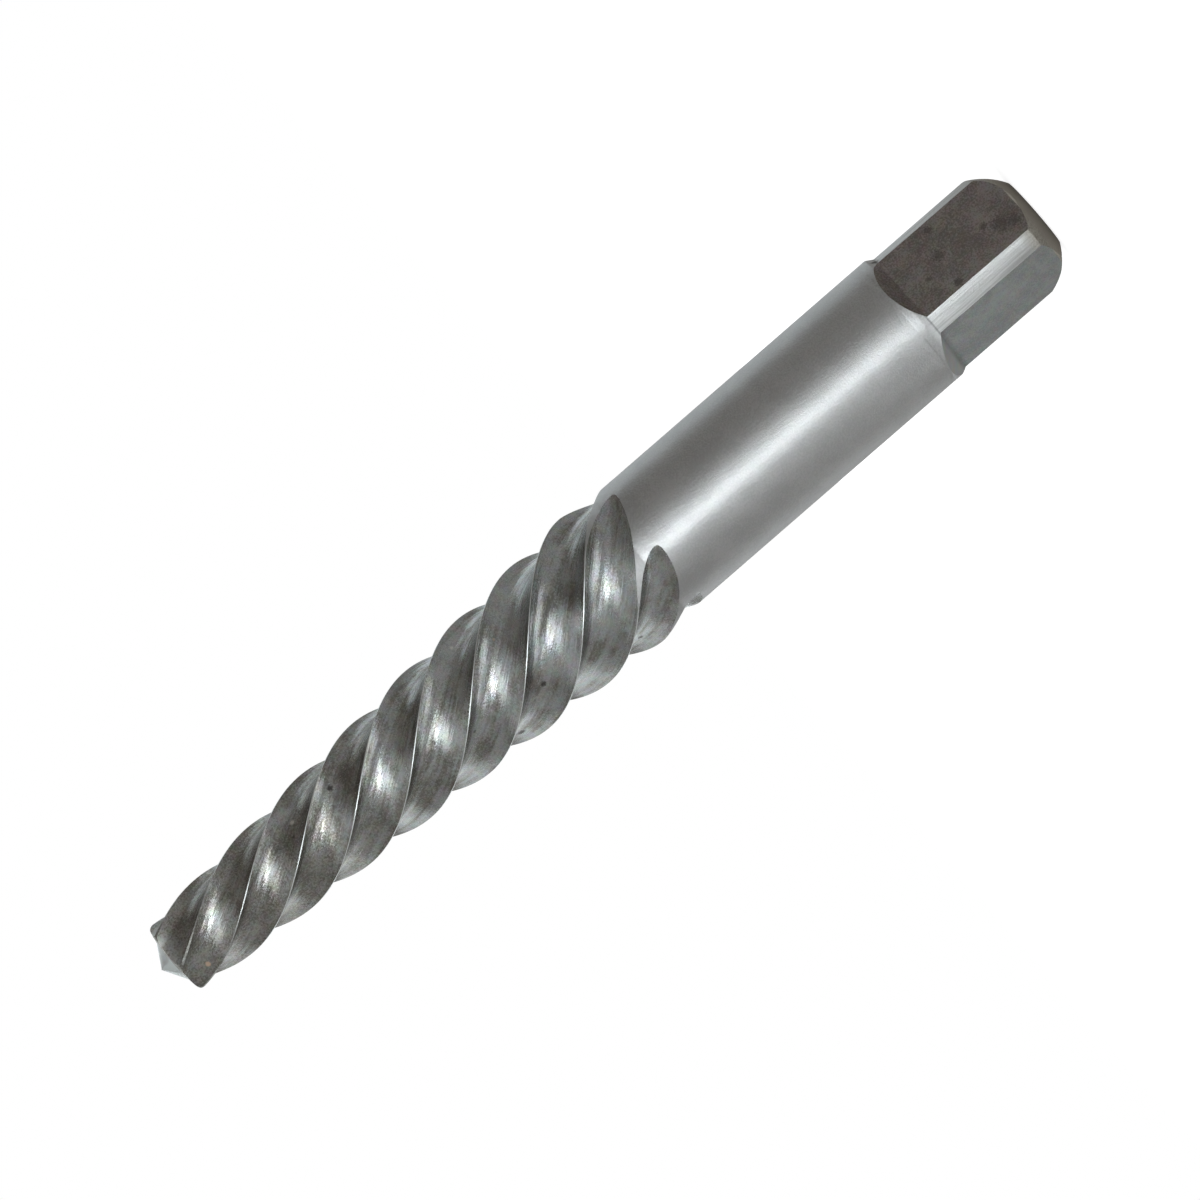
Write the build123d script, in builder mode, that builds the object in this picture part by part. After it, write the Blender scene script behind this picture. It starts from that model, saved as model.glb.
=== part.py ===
from build123d import *
from math import atan2, cos, degrees, hypot, radians, sin, sqrt, tan
import os

# Spiral screw extractor: a square drive end, a plain round shank and a tapered end with six left-hand
# flutes that meet in sharp crests. The origin is where the axis meets the drive end's face, and +Z runs
# up the axis to the tip. Lengths are millimetres and heights are counted from the drive end's face.

# Overall form
overall_length = 76.0
shank_diameter = 9.86

# Square drive end
square_across_flats = 7.8
square_corner_diameter = 9.34
square_corner_offset = 0.2
square_offset_angle = -135.0
square_length = 10.0
square_run_out_length = 1.15
shoulder_length = 0.5

# Domed end: a flat face to stand on, then a rounded edge whose circles drift a little off the axis
dome_offset = 0.85
dome_offset_angle = -123.5
dome_offset_height = 1.6
dome_sphere_radius = 5.2
dome_sphere_height = 4.5
dome_edge_height = 2.45
dome_flare_angle = 24.0
dome_steps = 4

# Tapered fluted end
body_diameter = 10.53
body_start = 36.7
back_taper_length = 2.3
crest_diameter_at_tip = 5.56
crest_taper = 0.132
crest_relief_length = 3.0
crest_relief_depth = 0.10
tip_corner_radius = 0.5
point_diameter = 3.3
point_angle = 120.0
point_face_drop = 0.10

# Flutes
flute_count = 6
flute_lead = 29.39
flute_depth_ratio = 0.235
root_share = 0.42
flute_end = 35.4
first_crest_angle = 239.7
first_crest_height = 58.79

# Grinding wheel that leaves the flutes' pointed ends
wheel_diameter = 25.0
wheel_angle = 37.8
exit_root_share = 0.27
exit_length = 2.4

# The blank is left this much larger than the crests, so that the flutes alone form them
grinding_allowance = 0.2
section_turn = 15.0

shank_radius = shank_diameter / 2
body_radius = body_diameter / 2
pitch_angle = 360 / flute_count
tip_height = overall_length - point_diameter / 2 / tan(radians(point_angle / 2)) - point_face_drop


def crest_radius(height):
    """Radius of the sharp crests, which grow from the tip down to the shank."""
    return (crest_diameter_at_tip + crest_taper * (overall_length - height)) / 2


def polar(radius, angle):
    return (radius * cos(radians(angle)), radius * sin(radians(angle)))


def dome_radius(height):
    return sqrt(dome_sphere_radius**2 - (dome_sphere_height - height)**2)


def dome_centre(height):
    """Centre of the dome's circle at a height: on the axis at the face, off it at the edge."""
    short_of_full = 1 - min(1, height / dome_offset_height)
    return polar(dome_offset * (1 - short_of_full**2), dome_offset_angle)


def flute_turn(height):
    """Angle of the first crest at a height: a left-hand helix."""
    return first_crest_angle - 360 * (height - first_crest_height) / flute_lead


def star_sizes(height):
    """Crest radius, root radius, turn and root share of the fluted section at a height.

    Above flute_end the section follows the helix. Below it the wheel has stopped, so the root follows
    the wheel's rim, which climbs out of the work along a straight line tangent to the flute.
    """
    ground = max(height, flute_end)
    crest = crest_radius(ground)
    root = crest * (1 - flute_depth_ratio)
    turn = flute_turn(ground)
    past_end = ground - height
    rim_travel = past_end / cos(radians(wheel_angle))
    rim_height = root + rim_travel**2 / wheel_diameter
    rim_offset = past_end * tan(radians(wheel_angle))
    lift = hypot(rim_height, rim_offset) - root
    share = root_share + (exit_root_share - root_share) * min(1, past_end / exit_length)
    return crest + lift, root + lift, turn + degrees(atan2(rim_offset, rim_height)), share


# Heights of the fluted sections, from past the tip down to where the roots clear the shank
section_heights = []
height = overall_length + grinding_allowance
while star_sizes(height)[1] < shank_radius + grinding_allowance:
    section_heights.append(height)
    step = flute_lead * section_turn / 360
    height = height - step if height > flute_end + step or height <= flute_end else flute_end
section_heights.append(height)

# The fluted form: each flute has a steep leading face and a gentle trailing face, two arcs tangent
# to each other at the root
with BuildPart() as fluted_form:
    for height in section_heights:
        crest, root, turn, share = star_sizes(height)
        with BuildSketch(Plane.XY.offset(height)):
            with BuildLine():
                for flute in range(flute_count):
                    lead_crest = turn - flute * pitch_angle
                    root_angle = lead_crest - share * pitch_angle
                    trail_crest = lead_crest - pitch_angle
                    along_root = polar(1, root_angle + 90)
                    past_root = polar(1, root_angle - 90)
                    TangentArc(polar(root, root_angle), polar(crest, lead_crest), tangent=along_root)
                    TangentArc(polar(root, root_angle), polar(crest, trail_crest), tangent=past_root)
            make_face()
    loft()

# Milling cut of one flat of the square, which ends in a ramp up to the shank
with BuildPart() as flat_cut:
    with BuildSketch(Plane.XZ):
        with Locations((square_across_flats / 2, -grinding_allowance)):
            Rectangle(
                shank_radius,
                square_length + square_run_out_length + grinding_allowance,
                align=(Align.MIN, Align.MIN),
            )
        chamfer(vertices().group_by(Axis.X)[0].sort_by(Axis.Y)[-1], square_run_out_length)
    extrude(amount=shank_radius, both=True)

# The domed end's rounded edge, and the flare above it that trims the square's corners
shoulder_top = square_length + shoulder_length
with BuildPart() as dome:
    for step in range(dome_steps + 1):
        height = dome_edge_height * step / dome_steps
        with BuildSketch(Plane.XY.offset(height)):
            with Locations(dome_centre(height)):
                Circle(dome_radius(height))
    loft()
    flare = (shoulder_top - dome_edge_height) * tan(radians(dome_flare_angle))
    for height, radius in ((dome_edge_height, dome_radius(dome_edge_height)),
                           (shoulder_top, dome_radius(dome_edge_height) + flare)):
        with BuildSketch(Plane.XY.offset(height)):
            with Locations(dome_centre(height)):
                Circle(radius)
    loft()

# Round blank of the square, a little off the axis, and the shoulder up to the shank
with BuildPart() as drive_end:
    with BuildSketch():
        with Locations(polar(square_corner_offset, square_offset_angle)):
            Circle(square_corner_diameter / 2)
    extrude(amount=square_length)
    with BuildSketch(Plane.XY.offset(square_length)):
        with Locations(polar(square_corner_offset, square_offset_angle)):
            Circle(square_corner_diameter / 2)
    with BuildSketch(Plane.XY.offset(shoulder_top)):
        Circle(shank_radius)
    loft()
    add(dome.part, mode=Mode.INTERSECT)

# The turned fluted end before grinding: back taper, short body, point with a rounded corner
with BuildPart() as extractor:
    with BuildSketch(Plane.XZ):
        with BuildLine():
            run_out_end = section_heights[-1]
            body_top = overall_length + (crest_diameter_at_tip - body_diameter) / crest_taper
            relief_start = tip_height - crest_relief_length
            relief_radius = crest_radius(relief_start)
            corner_radius = crest_radius(tip_height) - crest_relief_depth
            point_radius = point_diameter / 2
            Polyline(
                (0, run_out_end),
                (shank_radius, run_out_end),
                (shank_radius, body_start - back_taper_length),
                (body_radius, body_start),
                (body_radius, body_top),
                (crest_radius(body_top) + grinding_allowance, body_top),
                (relief_radius + grinding_allowance, relief_start),
                (relief_radius, relief_start),
                (corner_radius, tip_height - tip_corner_radius),
            )
            Line((corner_radius - tip_corner_radius, tip_height), (point_radius, tip_height + point_face_drop))
            Line((point_radius, tip_height + point_face_drop), (0, overall_length))
            Line((0, overall_length), (0, run_out_end))
            TangentArc(
                (corner_radius, tip_height - tip_corner_radius),
                (corner_radius - tip_corner_radius, tip_height),
                tangent=(0, 1),
            )
        make_face()
    revolve(axis=Axis.Z)
    add(fluted_form.part, mode=Mode.INTERSECT)

    # Shank, then the drive end's blank
    with BuildSketch(Plane.XY.offset(shoulder_top)):
        Circle(shank_radius)
    extrude(amount=run_out_end - shoulder_top)
    add(drive_end.part)

    # Four milled flats
    with PolarLocations(0, 4):
        add(flat_cut.part, mode=Mode.SUBTRACT)

extractor.part.label = "extractor"
os.makedirs("parts", exist_ok=True)
export_step(extractor.part, "parts/extractor.step")
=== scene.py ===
import bmesh
import bpy
import math
from mathutils import Matrix, Quaternion, Vector


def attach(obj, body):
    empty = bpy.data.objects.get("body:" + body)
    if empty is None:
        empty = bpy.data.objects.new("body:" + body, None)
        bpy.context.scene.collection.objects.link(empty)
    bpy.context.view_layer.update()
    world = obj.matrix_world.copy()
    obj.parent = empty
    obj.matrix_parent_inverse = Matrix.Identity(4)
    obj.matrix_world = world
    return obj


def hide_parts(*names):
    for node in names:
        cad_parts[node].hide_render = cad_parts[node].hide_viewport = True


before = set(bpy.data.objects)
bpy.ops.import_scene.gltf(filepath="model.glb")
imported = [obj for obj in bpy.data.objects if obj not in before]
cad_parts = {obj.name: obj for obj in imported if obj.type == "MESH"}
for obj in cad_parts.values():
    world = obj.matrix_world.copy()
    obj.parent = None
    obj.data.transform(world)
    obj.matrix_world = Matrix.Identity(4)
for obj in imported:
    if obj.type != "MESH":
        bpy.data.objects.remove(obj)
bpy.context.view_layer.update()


# Extractor body
# One bar of hardened tool steel, standing on its square drive end with the axis on Z. It is turned to a
# shank and a taper, its six left-hand flutes are ground to sharp crests, and its square is milled. The
# skin is one circle of points drawn up the axis ring by ring, each ring shaped to the section there.
MM = 0.001
LENGTH = 76.0
SHANK_RADIUS = 4.93
BODY_RADIUS = 5.265
BODY_START = 36.7
BACK_TAPER_START = 34.4

# Flutes, the narrow width ground on their crests, and the wheel that lifts out at their end
CREST_RADIUS_AT_TIP = 2.78
CREST_SLOPE = 0.066
CREST_CUT = 0.05
FLUTE_COUNT = 6
PITCH = 360 / FLUTE_COUNT
FLUTE_LEAD = 29.39
FLUTE_DEPTH_RATIO = 0.235
LEAST_DEPTH = 0.02
ROOT_SHARE = 0.42
ROOT_SHARE_AT_EXIT = 0.27
FLUTE_END = 35.4
EXIT_LENGTH = 2.4
LONGEST_EXIT = 6
FIRST_CREST_ANGLE = 239.7
FIRST_CREST_HEIGHT = 58.79
WHEEL_DIAMETER = 25.0
WHEEL_ANGLE = math.radians(37.8)

# Tip: a relief, a rounded corner, a face and a cone point
FACE_HEIGHT = 74.947
FACE_RADIUS = 2.25
TIP_CORNER_RADIUS = 0.5
CORNER_START = FACE_HEIGHT - TIP_CORNER_RADIUS
RELIEF_HEIGHT = FACE_HEIGHT - 3.0
POINT_RADIUS = 1.65
POINT_BASE_HEIGHT = FACE_HEIGHT + 0.1

# Square: each flat ends in a ramp, the blank lies a little off the axis, and a shoulder joins the shank
FLAT_OFFSET = 3.9
FLAT_LENGTH = 10.0
RAMP_TOP = FLAT_LENGTH + SHANK_RADIUS - FLAT_OFFSET
DRIVE_RADIUS = 4.67
DRIVE_SHIFT = 0.2
DRIVE_ANGLE = math.radians(-135)
HALF_FLAT = math.degrees(math.acos(FLAT_OFFSET / DRIVE_RADIUS))
WIDEST_HALF_FLAT = 60
SHOULDER_LENGTH = 0.5

# Domed end: its rounded edge drifts off the axis, and a flare above it trims the square's corners
DOME_SHIFT = 0.85
DOME_SHIFT_HEIGHT = 1.6
DOME_ANGLE = math.radians(-123.5)
DOME_SPHERE_RADIUS = 5.2
DOME_SPHERE_HEIGHT = 4.5
DOME_EDGE_HEIGHT = 2.45
DOME_FLARE = math.tan(math.radians(24))
DOME_TOP = 4.0

# Points across a flute and its crest, and across a flat and its corner: both make the same full turn
FLUTE_POINTS, CREST_POINTS = 18, 14
FLAT_POINTS, CORNER_POINTS = 34, 14
PITCH_POINTS = FLUTE_POINTS + CREST_POINTS
POINTS = FLUTE_COUNT * PITCH_POINTS

# Rings in each stretch, from the drive end up
DOME_RINGS, SQUARE_RINGS, RAMP_RINGS, SHOULDER_RINGS, BLEND_RINGS, SHANK_RINGS = 34, 12, 20, 6, 4, 26
SPREAD_RINGS, LEAF_RINGS, FLUTE_RINGS, RELIEF_RINGS, TIP_CORNER_RINGS = 6, 30, 110, 14, 10

# The last ring below the flats' crease, the height from which the shank's points lie evenly, and the
# lengths over which points spread: up to that height, and below the flutes' ends
BELOW_CREASE = 0.25
EVEN_FROM = RAMP_TOP + 1.4
BLEND_LENGTH = 0.6
SPREAD_LENGTH = 1.0

# Past a flat's tips its plane lies outside the round form: by this share of it when fully spread
FLAT_SPREAD = 0.12

# Searches for a flat's ends and for the flutes' ends, then tolerances in millimetres
FLAT_HALVINGS, LEAF_HALVINGS = 20, 30
HEIGHT_TOLERANCE = 0.001
FLAT_TOLERANCE = 0.002
MERGE_DISTANCE = 0.0004
SMOOTH_UP_TO = math.radians(26)


def between(low, high, share):
    return low + (high - low) * share


def steps(low, high, count, ease=lambda share: share):
    """Values from low towards high, which is left to what follows."""
    return [between(low, high, ease(step / count)) for step in range(count)]


def narrowed(low, high, halvings, holds):
    """A range halved over and over about the value up to which a condition holds."""
    for halving in range(halvings):
        middle = (low + high) / 2
        low, high = (middle, high) if holds(middle) else (low, middle)
    return low, high


def crest_radius(height):
    return CREST_RADIUS_AT_TIP + CREST_SLOPE * (LENGTH - height)


def turned_radius(height):
    """Radius of the turned form before its flutes and flats are cut."""
    if height < BACK_TAPER_START:
        return SHANK_RADIUS
    if height < BODY_START:
        share = (height - BACK_TAPER_START) / (BODY_START - BACK_TAPER_START)
        return between(SHANK_RADIUS, BODY_RADIUS, share)
    if height > CORNER_START:
        rise = min(height - CORNER_START, TIP_CORNER_RADIUS)
        return FACE_RADIUS + math.sqrt(TIP_CORNER_RADIUS**2 - rise**2)
    if height > RELIEF_HEIGHT:
        share = (height - RELIEF_HEIGHT) / (CORNER_START - RELIEF_HEIGHT)
        return between(crest_radius(RELIEF_HEIGHT) - CREST_CUT, FACE_RADIUS + TIP_CORNER_RADIUS, share)
    return min(BODY_RADIUS, crest_radius(height) - CREST_CUT)


def star(height):
    """Crest radius, root radius, turn and root phase of the six flutes; below their end the wheel lifts."""
    ground = max(height, FLUTE_END)
    crest = crest_radius(ground)
    root = crest * (1 - FLUTE_DEPTH_RATIO)
    turn = FIRST_CREST_ANGLE - 360 * (ground - FIRST_CREST_HEIGHT) / FLUTE_LEAD
    past_end = ground - height
    rim_height = root + (past_end / math.cos(WHEEL_ANGLE))**2 / WHEEL_DIAMETER
    rim_offset = past_end * math.tan(WHEEL_ANGLE)
    rim_turn = math.degrees(math.atan2(rim_offset, rim_height))
    lift = math.hypot(rim_height, rim_offset) - root
    root_phase = PITCH * between(ROOT_SHARE, ROOT_SHARE_AT_EXIT, min(1, past_end / EXIT_LENGTH))
    return crest + lift, root + lift, turn + rim_turn, root_phase


def lifted_clear(height):
    """Whether the wheel has risen so far that it no longer touches the turned surface."""
    return star(height)[1] > turned_radius(height)


# Height of the pointed tips where the flutes run out on the shank
LEAF_TIP = narrowed(FLUTE_END - LONGEST_EXIT, FLUTE_END, LEAF_HALVINGS, lifted_clear)[1]


def face_arc(crest, root, width):
    """Distance from the axis to the centre of a face's arc, which lies level at the root and ends on
    the crest, width degrees on."""
    return (crest**2 - root**2) / (2 * (crest * math.cos(math.radians(width)) - root))


def flute_radius(crest, root, root_phase, phase):
    """Radius of a flute's floor at a phase counted in degrees from its steep face's crest."""
    width = root_phase if phase < root_phase else PITCH - root_phase
    centre = face_arc(crest, root, width)
    off = math.radians(phase - root_phase)
    past_centre = math.sqrt((centre - root)**2 - (centre * math.sin(off))**2)
    return centre * math.cos(off) - math.copysign(past_centre, centre)


def reach(crest, root, width, radius):
    """Degrees from the root at which a flute's face has climbed to a radius."""
    centre = face_arc(crest, root, width)
    cosine = (radius**2 + centre**2 - (centre - root)**2) / (2 * radius * centre)
    return math.degrees(math.acos(min(1, cosine)))


def flute_edges(height):
    """Phases at which a flute's floor meets the turned surface; both the same where it never does."""
    crest, root, turn, root_phase = star(height)
    radius = turned_radius(height)
    if root >= radius and height < FLUTE_END:
        return root_phase, root_phase
    radius = max(radius, root + LEAST_DEPTH)
    low = root_phase - reach(crest, root, root_phase, radius)
    return low, root_phase + reach(crest, root, PITCH - root_phase, radius)


def fluted_ring(height):
    """Angle and radius of each point of a ring in the fluted end: across a flute, then over its land."""
    crest, root, turn, root_phase = star(height)
    limit = turned_radius(height)
    low, high = flute_edges(height)
    if low == high:
        spread = min(1, (LEAF_TIP - height) / SPREAD_LENGTH)
        half_land = PITCH * CREST_POINTS / PITCH_POINTS / 2
        low, high = between(low, half_land, spread), between(high, PITCH - half_land, spread)
    ring = []
    for flute in range(FLUTE_COUNT):
        for phase in steps(low, high, FLUTE_POINTS):
            floor = flute_radius(crest, root, root_phase, phase) if root < limit else limit
            ring.append((turn - flute * PITCH - phase, min(limit, floor)))
        for phase in steps(high, PITCH + low, CREST_POINTS):
            ring.append((turn - flute * PITCH - phase, limit))
    return ring


def even_ring(first_angle):
    """A ring of the plain shank, its points evenly spread."""
    return [(first_angle - 360 * point / POINTS, SHANK_RADIUS) for point in range(POINTS)]


def shifted(shift, shift_angle, radius, angle):
    """Distance from the axis, in one direction, of a circle shifted off the axis."""
    off = math.radians(angle) - shift_angle
    return shift * math.cos(off) + math.sqrt(radius**2 - (shift * math.sin(off))**2)


def dome_shift(height):
    """How far the domed end's circle lies off the axis: not at all at the face, fully at the edge."""
    return DOME_SHIFT * (1 - (1 - min(1, height / DOME_SHIFT_HEIGHT))**2)


def dome_radius(height):
    """Radius of the domed end about its own axis: a rounded edge, then a flare."""
    drop = DOME_SPHERE_HEIGHT - min(height, DOME_EDGE_HEIGHT)
    return math.sqrt(DOME_SPHERE_RADIUS**2 - drop**2) + max(0, height - DOME_EDGE_HEIGHT) * DOME_FLARE


def drive_limit(height, angle):
    """Radius of the drive end in one direction before its flats are milled: blank, shoulder and dome."""
    share = min(1, max(0, height - FLAT_LENGTH) / SHOULDER_LENGTH)
    shift, radius = between(DRIVE_SHIFT, 0, share), between(DRIVE_RADIUS, SHANK_RADIUS, share)
    limit = shifted(shift, DRIVE_ANGLE, radius, angle)
    if height < DOME_TOP:
        return min(limit, shifted(dome_shift(height), DOME_ANGLE, dome_radius(height), angle))
    return limit


def flat_ends(height, offset, normal):
    """Angles at which a flat begins and ends; past its tips they spread apart over the round form."""
    shift = dome_shift(height) if height < DOME_TOP else 0
    lean = math.atan2(shift * math.sin(DOME_ANGLE - math.radians(normal)), offset)
    middle = normal + math.degrees(lean)

    def above(angle):
        return offset / math.cos(math.radians(angle - normal)) / drive_limit(height, angle) - 1

    if above(middle) >= 0:
        half = HALF_FLAT * min(1, above(middle) / FLAT_SPREAD)
        return middle + half, middle - half
    ends = []
    for side in (1, -1):
        half = narrowed(0, WIDEST_HALF_FLAT, FLAT_HALVINGS, lambda off: above(middle + side * off) < 0)[0]
        ends.append(middle + side * half)
    return ends


def square_ring(height):
    """Angle and radius of each point of a ring in the square end: across a flat, then over its corner."""
    offset = FLAT_OFFSET + max(0, height - FLAT_LENGTH)
    ends = [flat_ends(height, offset, -90 * flat) for flat in range(5)]
    ring = []
    for flat in range(4):
        for angle in steps(*ends[flat], FLAT_POINTS):
            cut = offset / math.cos(math.radians(angle + 90 * flat))
            ring.append((angle, min(cut, drive_limit(height, angle))))
        for angle in steps(ends[flat][1], ends[flat + 1][0], CORNER_POINTS):
            ring.append((angle, drive_limit(height, angle)))
    return ring


def drive_rings():
    """Rings of the square, its ramps and its shoulder, then their points spread evenly round the shank."""
    blend_from = EVEN_FROM - BLEND_LENGTH
    heights = steps(0, DOME_TOP, DOME_RINGS)
    heights += steps(DOME_TOP, FLAT_LENGTH - BELOW_CREASE, SQUARE_RINGS) + [FLAT_LENGTH - BELOW_CREASE]
    heights += steps(FLAT_LENGTH, RAMP_TOP, RAMP_RINGS, lambda share: 1 - (1 - share)**2)
    heights += steps(RAMP_TOP, blend_from, SHOULDER_RINGS)
    made = [(height, square_ring(height)) for height in heights]
    last = square_ring(EVEN_FROM)
    even = even_ring(last[0][0])
    for height in steps(blend_from, EVEN_FROM, BLEND_RINGS):
        share = (height - blend_from) / BLEND_LENGTH
        made.append((height, [(between(a[0], b[0], share), SHANK_RADIUS) for a, b in zip(last, even)]))
    return made, last[0][0]


def flute_rings():
    """Rings from a little below the flutes' pointed ends up to the cone point."""
    heights = steps(LEAF_TIP - SPREAD_LENGTH, LEAF_TIP, SPREAD_RINGS)[1:]
    heights += steps(LEAF_TIP, FLUTE_END, LEAF_RINGS, lambda share: share**2)
    heights += steps(FLUTE_END, RELIEF_HEIGHT, FLUTE_RINGS)
    heights += steps(RELIEF_HEIGHT, CORNER_START, RELIEF_RINGS)
    for step in range(TIP_CORNER_RINGS):
        corner = math.radians(90 * step / (TIP_CORNER_RINGS - 1))
        heights.append(FACE_HEIGHT - TIP_CORNER_RADIUS * (1 - math.sin(corner)))
    made = [(height, fluted_ring(height)) for height in heights]
    for height, radius in ((POINT_BASE_HEIGHT, POINT_RADIUS), (LENGTH, 0)):
        made.append((height, [(angle, radius) for angle, last in made[-1][1]]))
    return made


def rings():
    """Every ring from the drive end to the tip: its height and points, all counted from one column. The
    number that comes with them says by how many points the flutes' own count is ahead."""
    made, low_first = drive_rings()
    even_to = LEAF_TIP - SPREAD_LENGTH
    high_first = fluted_ring(even_to)[0][0]
    shift = round((high_first - low_first) * POINTS / 360)
    last_first = high_first - 360 * shift / POINTS
    for height in steps(EVEN_FROM, even_to, SHANK_RINGS) + [even_to]:
        share = (height - EVEN_FROM) / (even_to - EVEN_FROM)
        made.append((height, even_ring(between(low_first, last_first, share))))
    shift %= POINTS
    made += [(height, ring[shift:] + ring[:shift]) for height, ring in flute_rings()]
    return made, shift


def ring_point(angle, radius, height):
    turn = math.radians(angle)
    return Vector((radius * math.cos(turn), radius * math.sin(turn), height))


def place(points, ring, height):
    for point, (angle, radius) in zip(points, ring):
        point.co = ring_point(angle, radius, height) * MM


def on_flat(point):
    """Whether a point lies on one of the square's milled flats or on the ramp above it."""
    offset = FLAT_OFFSET + max(0, point.z - FLAT_LENGTH)
    off_plane = abs(max(abs(point.x), abs(point.y)) - offset)
    return offset < SHANK_RADIUS + FLAT_TOLERANCE and off_plane < FLAT_TOLERANCE


def drawn_up(shape, edges, points):
    """A ring of edges extruded: the edges of the new ring, and the new point that stands on each old one."""
    made = bmesh.ops.extrude_edge_only(shape, edges=edges)["geom"]
    fresh = {item for item in made if isinstance(item, bmesh.types.BMVert)}
    raised = [item for item in made if isinstance(item, bmesh.types.BMEdge) and fresh.issuperset(item.verts)]
    above = [next(edge.other_vert(point) for edge in point.link_edges if edge.other_vert(point) in fresh)
             for point in points]
    return raised, above


def extractor_mesh():
    """The tool's skin: a circle drawn out ring by ring, with marks for its ground and milled faces."""
    shape = bmesh.new()
    ground_mark = shape.loops.layers.float.new("ground")
    milled_mark = shape.loops.layers.float.new("milled")
    all_rings, shift = rings()
    points = bmesh.ops.create_circle(shape, segments=POINTS, radius=1, cap_ends=True)["verts"]
    place(points, all_rings[0][1], all_rings[0][0])
    edges = list(shape.edges)
    for height, ring in all_rings[1:]:
        edges, above = drawn_up(shape, edges, points)
        place(above, ring, height)
        for column in range(POINTS):
            ends = {points[(column + 1) % POINTS], above[column]}
            face = next(face for face in points[column].link_faces if ends.issubset(face.verts))
            in_flute = (column + shift) % PITCH_POINTS < FLUTE_POINTS
            ground = float(in_flute and height > LEAF_TIP + HEIGHT_TOLERANCE)
            milled = float(all(on_flat(corner.co / MM) for corner in face.verts))
            for loop in face.loops:
                loop[ground_mark] = ground
                loop[milled_mark] = milled
        points = above
    bmesh.ops.remove_doubles(shape, verts=shape.verts, dist=MERGE_DISTANCE * MM)
    bmesh.ops.recalc_face_normals(shape, faces=shape.faces)
    mesh = bpy.data.meshes.new("extractor_skin")
    shape.to_mesh(mesh)
    shape.free()
    mesh.shade_smooth()
    mesh.set_sharp_from_angle(angle=SMOOTH_UP_TO)
    # The crease between a flat and its ramp is worn soft
    for edge in mesh.edges:
        heights = [mesh.vertices[end].co.z / MM for end in edge.vertices]
        if all(abs(height - FLAT_LENGTH) < HEIGHT_TOLERANCE for height in heights):
            edge.use_edge_sharp = False
    return mesh


class Link:
    """A shader socket that takes part in Python sums, each of which adds its Math node."""

    def __init__(self, tree, socket):
        self.tree, self.socket = tree, socket

    def math(self, operation, *others):
        return node(self.tree, "ShaderNodeMath", {"operation": operation}, dict(enumerate((self, *others))))

    def __add__(self, other):
        return self.math("ADD", other)

    __radd__ = __add__

    def __sub__(self, other):
        return self.math("SUBTRACT", other)

    def __rsub__(self, other):
        return self.math("MULTIPLY_ADD", -1.0, other)

    def __mul__(self, other):
        return self.math("MULTIPLY", other)

    __rmul__ = __mul__

    def ramp(self, low, high):
        """0 below low, 1 above high, eased between them."""
        return node(self.tree, "ShaderNodeMapRange", {"interpolation_type": "SMOOTHSTEP"},
                    {"Value": self, "From Min": low, "From Max": high}, "Result")


def node(tree, kind, settings=None, values=None, output=0):
    """A shader node with its settings made first and its sockets then given values or links."""
    made = tree.nodes.new(kind)
    for name, value in (settings or {}).items():
        setattr(made, name, value)
    for name, value in (values or {}).items():
        if isinstance(value, Link):
            tree.links.new(value.socket, made.inputs[name])
        else:
            made.inputs[name].default_value = value
    return Link(tree, made.outputs[output])


def vector_math(tree, operation, values, output="Vector"):
    return node(tree, "ShaderNodeVectorMath", {"operation": operation}, values, output)


def noise(tree, place, scale, detail=3.0, output="Fac"):
    """Noise with features about 1 / scale millimetres wide."""
    values = {"Vector": place, "Scale": scale, "Detail": detail}
    return node(tree, "ShaderNodeTexNoise", values=values, output=output)


def mixed(tree, share, low, high, blend="MIX"):
    """A colour between two colours, each a link or a plain triple."""
    low, high = [(*colour, 1) if isinstance(colour, tuple) else colour for colour in (low, high)]
    settings = {"data_type": "RGBA", "blend_type": blend}
    return node(tree, "ShaderNodeMix", settings, {0: share, 6: low, 7: high}, 2)


# The side that is seen, and the direction across the axis to the photograph's lower right
VIEWER_ANGLE = math.radians(-120.3)
TO_VIEWER = Vector((math.cos(VIEWER_ANGLE), math.sin(VIEWER_ANGLE), 0))
ASIDE = Vector((TO_VIEWER.y, -TO_VIEWER.x, 0))

# Marks seen on the near side: distance across the axis, height, size and strength
STAINS = (
    (-1.97, 6.74, 0.55, 0.5), (-1.32, 8.32, 0.32, 0.4), (0.10, 6.94, 0.42, 0.6),
    (-1.51, 3.32, 0.42, 0.5), (-0.92, 2.30, 0.85, 0.35), (-0.60, 1.60, 0.65, 0.35),
    (-3.69, 6.15, 0.38, 0.45), (-4.41, 10.16, 0.34, 0.9), (3.68, 47.87, 0.40, 1.0),
    (2.30, 44.65, 0.26, 0.9), (-1.84, 59.71, 0.27, 0.9), (4.14, 37.87, 0.24, 0.9),
    (0.40, 52.60, 0.18, 0.8), (-0.86, 63.60, 0.16, 0.6), (-2.40, 52.10, 0.22, 0.5),
    (1.60, 50.10, 0.16, 0.6),
)
SPECKS = (
    (-1.71, 63.07, 0.22, 1.0), (-3.42, 47.67, 0.18, 0.7), (3.40, 48.20, 0.18, 0.8),
    (0.90, 56.30, 0.15, 0.6),
)
RUST_DOTS = ((1.71, 73.33, 0.24, 1.0), (-2.20, 45.20, 0.14, 0.4))

# The share of a mark's size out to which it keeps its full strength, and how much a point that lies
# nearer the viewer is preferred where a mark is placed
SOLID_SHARE = 0.4
NEARNESS_WEIGHT = 0.1

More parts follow.
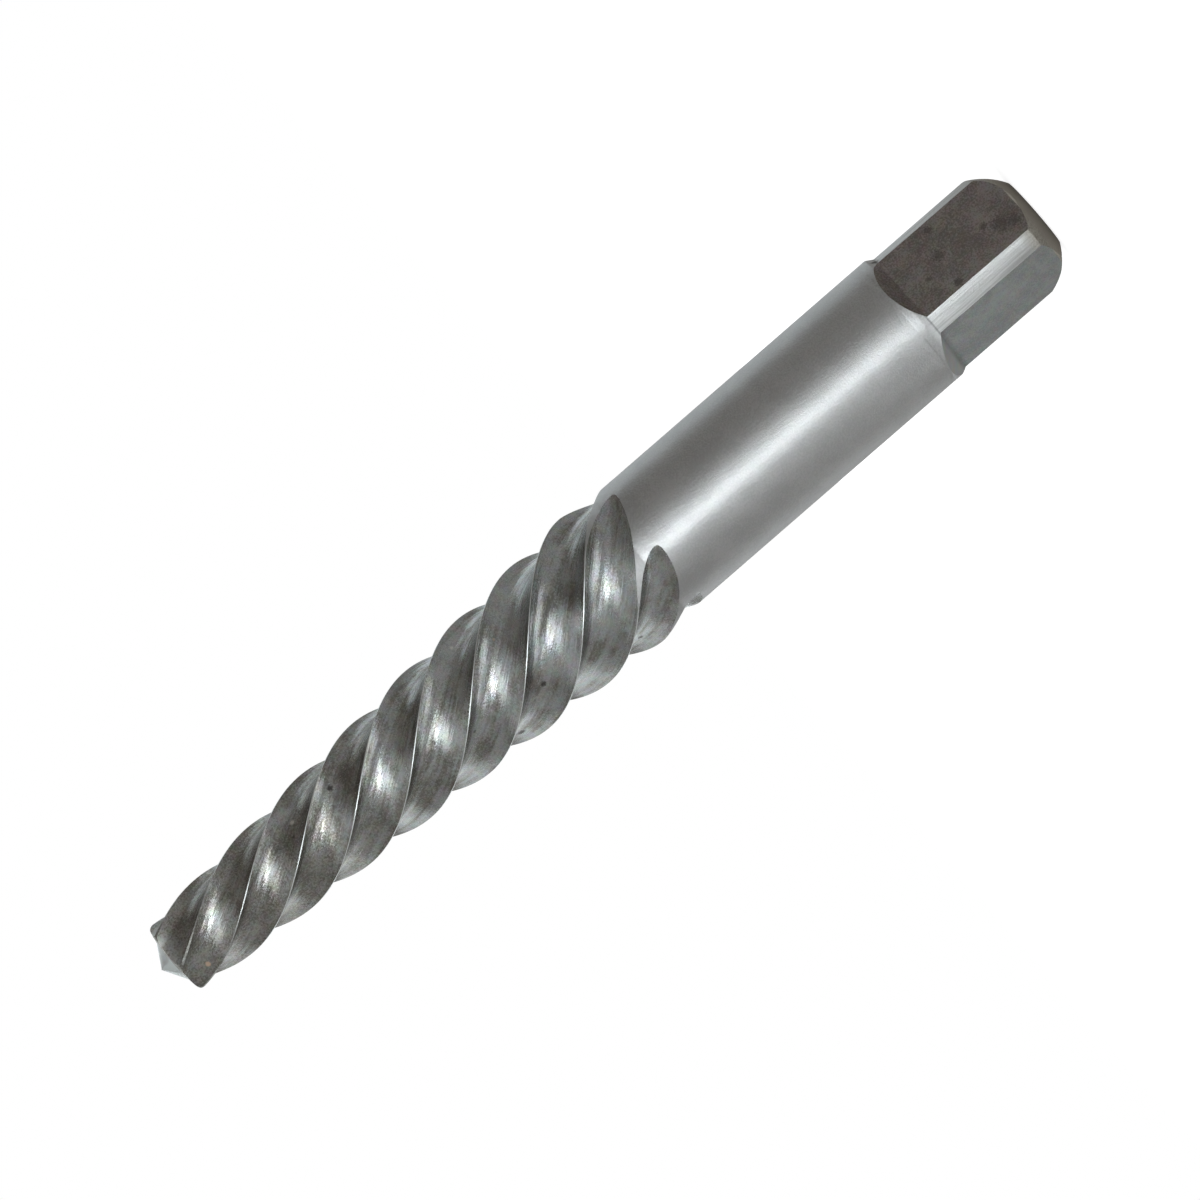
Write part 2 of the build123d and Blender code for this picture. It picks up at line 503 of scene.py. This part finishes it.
# Colours: the pairs are mottled from the one to the other
SHANK_GREY = (0.412, 0.405, 0.402), (0.474, 0.465, 0.461)
CORNER_GREY = (0.45, 0.445, 0.438), (0.60, 0.595, 0.586)
FLUTE_BROWN = (0.198, 0.186, 0.166), (0.372, 0.363, 0.342)
FLUTE_GREY = (0.36, 0.365, 0.36), (0.46, 0.47, 0.465)
FLAT_BROWN = (0.193, 0.165, 0.151), (0.313, 0.28, 0.262)
FLAT_GREY = (0.302, 0.306, 0.301), (0.396, 0.401, 0.395)
EDGE_RUST = (0.40, 0.36, 0.31), (0.62, 0.59, 0.53)
# The foot's colour is partly brown rust and partly painted light, lighter to make up for the floor's shade
# beneath it
FOOT_RUST_AND_PAINTED_LIGHT = (0.56, 0.50, 0.43)
# Painted shade for the crease where the square's corners meet the shoulder
PAINTED_CREASE_SHADE = (0.12, 0.12, 0.12)
RAMP_GREY = (0.50, 0.51, 0.50)
CREST_BRIGHT = (0.80, 0.81, 0.80)
POINT_GREY = (0.52, 0.54, 0.53)
STAIN_DARK = (0.07, 0.062, 0.058)
SPECK_PALE = (0.74, 0.72, 0.68)
DOT_RUST = (0.78, 0.58, 0.45)

# Stretches of the axis over which one finish passes into the next, in millimetres
FOOT_ENDS = 0.4, 1.2
RUST_ENDS = 1.0, 2.4
MILLING_STARTS = 2.4, 3.0
# Where the painted shade line in the shoulder's crease fades in and out
CREASE_SHADE_STARTS, CREASE_SHADE_ENDS = (9.96, 10.04), (10.08, 10.18)
RAMP_STARTS = FLAT_LENGTH, 10.4
SHANK_STARTS = FLAT_LENGTH, 10.6
SHANK_SMOOTHS = 10.6, 12.0
GRINDING_DEEPENS = 32.5, 36.5
GRAIN_FADES = 33.0, 36.0
CRESTS_START = 36.5, 37.5
FLUTES_DARKEN = 38.0, 72.0
CRESTS_DARKEN = 69.0, 73.0
TIP_BROWNS = 72.8, 74.6
TIP_ROUGHENS = 73.0, 74.5
POINT_STARTS = 75.02, 75.08

# How far toward -Y the brown flat starts, how patterns are drawn out along the flutes and along the
# square, and the relief's depth
BROWN_FLAT_STARTS = 3.0, 3.8
STREAK_SQUEEZE = (1, 1, 0.13)
MILLING_SQUEEZE = (1, 1, 0.03)
RELIEF_DEPTH = 0.04


def seen_point(aside, height):
    """The point of the near surface at a distance across the axis and a height, in millimetres."""
    ring = fluted_ring(height) if height > LEAF_TIP else square_ring(height)
    points = [ring_point(angle, radius, height) for angle, radius in ring]
    near = [point for point in points if point.dot(TO_VIEWER) > 0]
    return min(near, key=lambda point: abs(point.dot(ASIDE) - aside) - point.dot(TO_VIEWER) * NEARNESS_WEIGHT)


def tool_steel():
    """Tool steel: a satin shank, flutes stained brown, one brown and one grey flat, a lined corner with a
    line of painted shade in its crease at the shoulder, a browned round edge lightened at its foot as
    painted light, bright crests, and marks of use."""
    material = bpy.data.materials.new("tool_steel")
    material.use_nodes = True
    tree = material.node_tree
    surface = tree.nodes["Principled BSDF"]
    metres = node(tree, "ShaderNodeTexCoord", output="Object")
    place = vector_math(tree, "SCALE", {0: metres, "Scale": 1 / MM})
    y, height = [node(tree, "ShaderNodeSeparateXYZ", values={0: place}, output=axis) for axis in ("Y", "Z")]
    ground, milled = [node(tree, "ShaderNodeAttribute", {"attribute_name": name}, output="Fac")
                      for name in ("ground", "milled")]
    turn = height * (2 * math.pi / FLUTE_LEAD)
    straight = node(tree, "ShaderNodeVectorRotate", {"rotation_type": "Z_AXIS"},
                    {"Vector": place, "Angle": turn})
    along_flutes = vector_math(tree, "MULTIPLY", {0: straight, 1: STREAK_SQUEEZE})
    along_axis = vector_math(tree, "MULTIPLY", {0: place, 1: MILLING_SQUEEZE})

    # Cloudy stains, fine grain, grinding streaks along the flutes and milling lines along the square
    cloud = noise(tree, place, 0.5)
    grain = noise(tree, place, 8.0)
    streak = noise(tree, along_flutes, 4.0)
    band = noise(tree, along_flutes, 1.3, 2.0)
    milling = noise(tree, along_axis, 8.0)
    tint = noise(tree, place, 1.7, 5.0, "Color")
    mottle = (cloud * 0.4 + grain * 0.6).ramp(0.39, 0.61)

    # Turned surface: the square's lined corners, a dark line of painted shade in the crease where they meet
    # the shoulder, the shank and the crests' narrow lands
    above_square = height.ramp(*SHANK_STARTS)
    corner = mixed(tree, milling.ramp(0.35, 0.65), *CORNER_GREY)
    turned = mixed(tree, above_square, corner, mixed(tree, mottle, *SHANK_GREY))
    # Painted shade: a dark line along the crease where the corners meet the shoulder
    crease_shade = height.ramp(*CREASE_SHADE_STARTS) * (1.0 - height.ramp(*CREASE_SHADE_ENDS)) * 0.5
    turned = mixed(tree, crease_shade, turned, PAINTED_CREASE_SHADE)
    turned = mixed(tree, height.ramp(*CRESTS_START), turned, CREST_BRIGHT)

    # Flutes, browner towards the tip, where the crests are stained too, and the brighter cone point
    brown = mixed(tree, mottle, *FLUTE_BROWN)
    clean = band * 0.40 + streak * 0.25 + cloud * 0.35 - height.ramp(*FLUTES_DARKEN) * 0.13 + 0.06
    fluted = mixed(tree, clean.ramp(0.42, 0.60), brown, mixed(tree, mottle, *FLUTE_GREY))
    colour = mixed(tree, ground.math("MAXIMUM", height.ramp(*CRESTS_DARKEN)), turned, fluted)
    colour = mixed(tree, height.ramp(*TIP_BROWNS) * 0.6, colour, brown)
    colour = mixed(tree, height.ramp(*POINT_STARTS), colour, POINT_GREY)

    # Rusty round edge of the drive end, its lowest band lighter and less metallic: partly brown rust and
    # partly painted light that stands in for what the floor's shade beneath it takes away. Then the flats:
    # the one that faces -Y is brown
    rusty = (1.0 - height.ramp(*RUST_ENDS)) * (1.0 - milled)
    foot = 1.0 - height.ramp(*FOOT_ENDS)
    # Painted light: the foot band is lightened over its brown rust to make up for the floor's shade beneath
    # it
    rust_and_painted_light = mixed(tree, foot, mixed(tree, mottle, *EDGE_RUST), FOOT_RUST_AND_PAINTED_LIGHT)
    colour = mixed(tree, rusty, colour, rust_and_painted_light)
    grey = mixed(tree, height.ramp(*RAMP_STARTS), mixed(tree, mottle, *FLAT_GREY), RAMP_GREY)
    flat = mixed(tree, (y * -1.0).ramp(*BROWN_FLAT_STARTS), grey, mixed(tree, mottle, *FLAT_BROWN))
    colour = mixed(tree, milled, colour, flat)
    colour = mixed(tree, ground * 0.14 + milled * 0.14 + 0.04, colour, tint, "OVERLAY")

    # Dark spots, pale specks and dots of rust, each with a ragged edge
    def marks(places):
        most = None
        for aside, mark_height, size, strength in places:
            centre = seen_point(aside, mark_height)
            off = vector_math(tree, "DISTANCE", {0: place, 1: centre}, "Value")
            ragged = off + (grain - 0.5) * size
            mark = (1.0 - ragged.ramp(size * SOLID_SHARE, size)) * strength
            most = mark if most is None else most.math("MAXIMUM", mark)
        return most

    for places, shade in ((STAINS, STAIN_DARK), (SPECKS, SPECK_PALE), (RUST_DOTS, DOT_RUST)):
        colour = mixed(tree, marks(places), colour, shade)
    tree.links.new(colour.socket, surface.inputs["Base Color"])

    # The shank is satin, the flutes are shinier between their streaks, and the flats and rust are duller
    rough = ground * (streak * 0.20 - 0.21) + milled * 0.10 + rusty * 0.30 + grain * 0.10
    rough = rough - height.ramp(*SHANK_SMOOTHS) * 0.03 + height.ramp(*TIP_ROUGHENS) * 0.10 + 0.35
    tree.links.new(rough.socket, surface.inputs["Roughness"])
    tree.links.new((1.0 - rusty * 0.3 - foot * 0.45).socket, surface.inputs["Metallic"])

    # Grinding streaks in the flutes, milling lines below the shank, and a fine grain, weaker on the flutes
    grinding = ground * (height.ramp(*GRINDING_DEEPENS) * 0.75 + 0.25)
    grinding = grinding * (streak * 1.3 + band * 0.3 + grain * 0.2)
    lines = height.ramp(*MILLING_STARTS) * (1.0 - above_square) * milling * 0.45
    relief = grinding + lines + (0.65 - height.ramp(*GRAIN_FADES) * 0.40) * grain
    values = {"Strength": 0.5, "Distance": RELIEF_DEPTH * MM, "Height": relief}
    tree.links.new(node(tree, "ShaderNodeBump", values=values).socket, surface.inputs["Normal"])
    return material


extractor = bpy.data.objects.new("extractor_steel", extractor_mesh())
bpy.context.scene.collection.objects.link(extractor)
extractor.data.materials.append(tool_steel())
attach(extractor, "root")
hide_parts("extractor")


# Floor and light
# A plain pale floor under the drive end, white all round it, and soft lamps: a small one and broad ones
# in front, one at the side, broad ones behind and above, and three panels that lie on the floor and
# light what faces down.
FLOOR_SIZE = 3.0
FLOOR_PAINT = (0.4, 0.4, 0.4, 1)
WHITE_NEAR, WHITE_FAR = (0.85, 0.85, 0.85), (0.97, 0.97, 0.97)
WHITE_SPREAD = 0.04, 0.45
FLOOR_IN_STEEL = (0.125, 0.119, 0.110)
BLACK, WHITE = (0.0, 0.0, 0.0), (1.0, 1.0, 1.0)
SKY_STRENGTH = 0.22
SKY_COLOUR = (1.0, 0.96, 0.90)
LAMP_COOL = (0.89, 0.965, 1.0)
LAMP_BLUER = (0.82, 0.94, 1.0)
MIDDLE = Vector((0, 0, LENGTH / 2 * MM))
STRAIGHT_UP = Vector((0, 0, 1))
ON_FLOOR = 0.001
ALONG_VIEW = math.degrees(VIEWER_ANGLE) + 90

# Each lamp's name, place (aside, toward the viewer and up, in metres), width, height, roll in degrees,
# strength and colour. Those on the floor face straight up and the others face the tool's middle.
LAMPS = (
    ("lamp_front", (0.055, 0.295, 0.049), 0.068, 0.077, 10, 0.15, LAMP_COOL),
    ("lamp_front_high", (-0.123, 0.833, 0.317), 0.611, 0.328, 88, 1.10, LAMP_COOL),
    ("lamp_left_high", (-0.292, 0.503, 0.705), 1.2, 0.8, 73, 1.15, LAMP_COOL),
    ("lamp_right_high", (0.44, 0.282, 0.55), 0.486, 1.2, 80, 0.28, LAMP_COOL),
    ("lamp_low_front", (0.070, 0.150, ON_FLOOR), 0.036, 0.17, ALONG_VIEW, 0.115, LAMP_COOL),
    ("lamp_low_near", (0.041, 0.022, ON_FLOOR), 0.026, 0.070, ALONG_VIEW, 0.0095, LAMP_COOL),
    ("lamp_low_back", (-0.13, -0.13, ON_FLOOR), 0.17, 0.24, ALONG_VIEW, 0.085, LAMP_BLUER),
    ("lamp_side", (0.431, 0.101, 0.142), 1.2, 0.275, 0, 0.22, LAMP_COOL),
    ("lamp_back_right", (0.439, -0.336, 0.347), 0.457, 0.684, 0, 0.72, LAMP_COOL),
    ("lamp_back_left", (-0.379, -0.42, 0.096), 0.547, 0.181, 0, 0.22, LAMP_BLUER),
    ("lamp_back_low", (0.32, -0.50, 0.06), 0.35, 0.11, 0, 0.07, LAMP_COOL),
    ("lamp_back", (0.02, -0.75, 0.22), 0.30, 0.40, 0, 0.9, LAMP_COOL),
    ("lamp_top", (-0.04, -0.35, 0.70), 0.45, 0.45, 0, 0.9, LAMP_COOL),
)


def floor_white():
    """Pale paint that takes light and shadow, looks white to the eye and shows dimly in the steel."""
    material = bpy.data.materials.new("floor_white")
    material.use_nodes = True
    tree = material.node_tree
    surface = tree.nodes["Principled BSDF"]
    surface.inputs["Base Color"].default_value = FLOOR_PAINT
    surface.inputs["Roughness"].default_value = 1.0
    surface.inputs["Specular IOR Level"].default_value = 0.0
    surface.inputs["Emission Strength"].default_value = 1.0
    metres = node(tree, "ShaderNodeTexCoord", output="Object")
    far = vector_math(tree, "LENGTH", {0: metres}, "Value").ramp(*WHITE_SPREAD)
    eye, steel = [node(tree, "ShaderNodeLightPath", output=ray) for ray in ("Is Camera Ray", "Is Glossy Ray")]
    glow = mixed(tree, steel, BLACK, FLOOR_IN_STEEL)
    glow = mixed(tree, eye, glow, mixed(tree, far, WHITE_NEAR, WHITE_FAR))
    tree.links.new(glow.socket, surface.inputs["Emission Color"])
    return material


def soft_lamp(name, place, width, height, roll, strength, colour):
    lamp = bpy.data.lights.new(name, "AREA")
    lamp.shape = "RECTANGLE"
    lamp.size, lamp.size_y = width, height
    lamp.energy = strength
    lamp.color = colour
    holder = bpy.data.objects.new(name, lamp)
    aside, toward_viewer, up = place
    holder.location = Vector((0, 0, up)) + TO_VIEWER * toward_viewer + ASIDE * aside
    facing = STRAIGHT_UP if up == ON_FLOOR else MIDDLE - holder.location
    turned = facing.to_track_quat("-Z", "Y") @ Quaternion((0, 0, 1), math.radians(roll))
    holder.rotation_euler = turned.to_euler()
    holder.visible_camera = False
    bpy.context.scene.collection.objects.link(holder)


floor_shape = bmesh.new()
bmesh.ops.create_grid(floor_shape, x_segments=1, y_segments=1, size=FLOOR_SIZE)
floor_mesh = bpy.data.meshes.new("floor")
floor_shape.to_mesh(floor_mesh)
floor_shape.free()
floor = bpy.data.objects.new("floor", floor_mesh)
bpy.context.scene.collection.objects.link(floor)
floor.data.materials.append(floor_white())

world = bpy.data.worlds.new("studio")
world.use_nodes = True
bpy.context.scene.world = world
sky = world.node_tree
background = sky.nodes["Background"]
eye = node(sky, "ShaderNodeLightPath", output="Is Camera Ray")
sky.links.new((eye * (1 - SKY_STRENGTH) + SKY_STRENGTH).socket, background.inputs["Strength"])
sky.links.new(mixed(sky, eye, SKY_COLOUR, WHITE).socket, background.inputs["Color"])

for lamp in LAMPS:
    soft_lamp(*lamp)


# Camera
# Level with the tool and square to its axis, rolled so that the tool runs from the lower left to the
# upper right as in the photograph.
VIEWER_DISTANCE = 0.64
SENSOR_WIDTH = 36
PHOTO_WIDTH = 78.96 * MM
AIM_HEIGHT = 38.26 * MM
AIM_ASIDE = 0.51 * MM
AXIS_IN_PHOTO = Vector((-0.75524, -0.65544))

camera_data = bpy.data.cameras.new("camera")
camera = bpy.data.objects.new("camera", camera_data)
bpy.context.scene.collection.objects.link(camera)
bpy.context.scene.camera = camera
right = Vector((0, 0, AXIS_IN_PHOTO.x)) - ASIDE * AXIS_IN_PHOTO.y
up = Vector((0, 0, AXIS_IN_PHOTO.y)) + ASIDE * AXIS_IN_PHOTO.x
aim = Vector((0, 0, AIM_HEIGHT)) + ASIDE * AIM_ASIDE
turned = Matrix((right, up, TO_VIEWER)).transposed().to_4x4()
camera.matrix_world = Matrix.Translation(aim + TO_VIEWER * VIEWER_DISTANCE) @ turned
camera_data.sensor_width = SENSOR_WIDTH
camera_data.lens = SENSOR_WIDTH * VIEWER_DISTANCE / PHOTO_WIDTH
camera_data.clip_start, camera_data.clip_end = 0.01, 10

bpy.context.scene.view_settings.view_transform = "Standard"
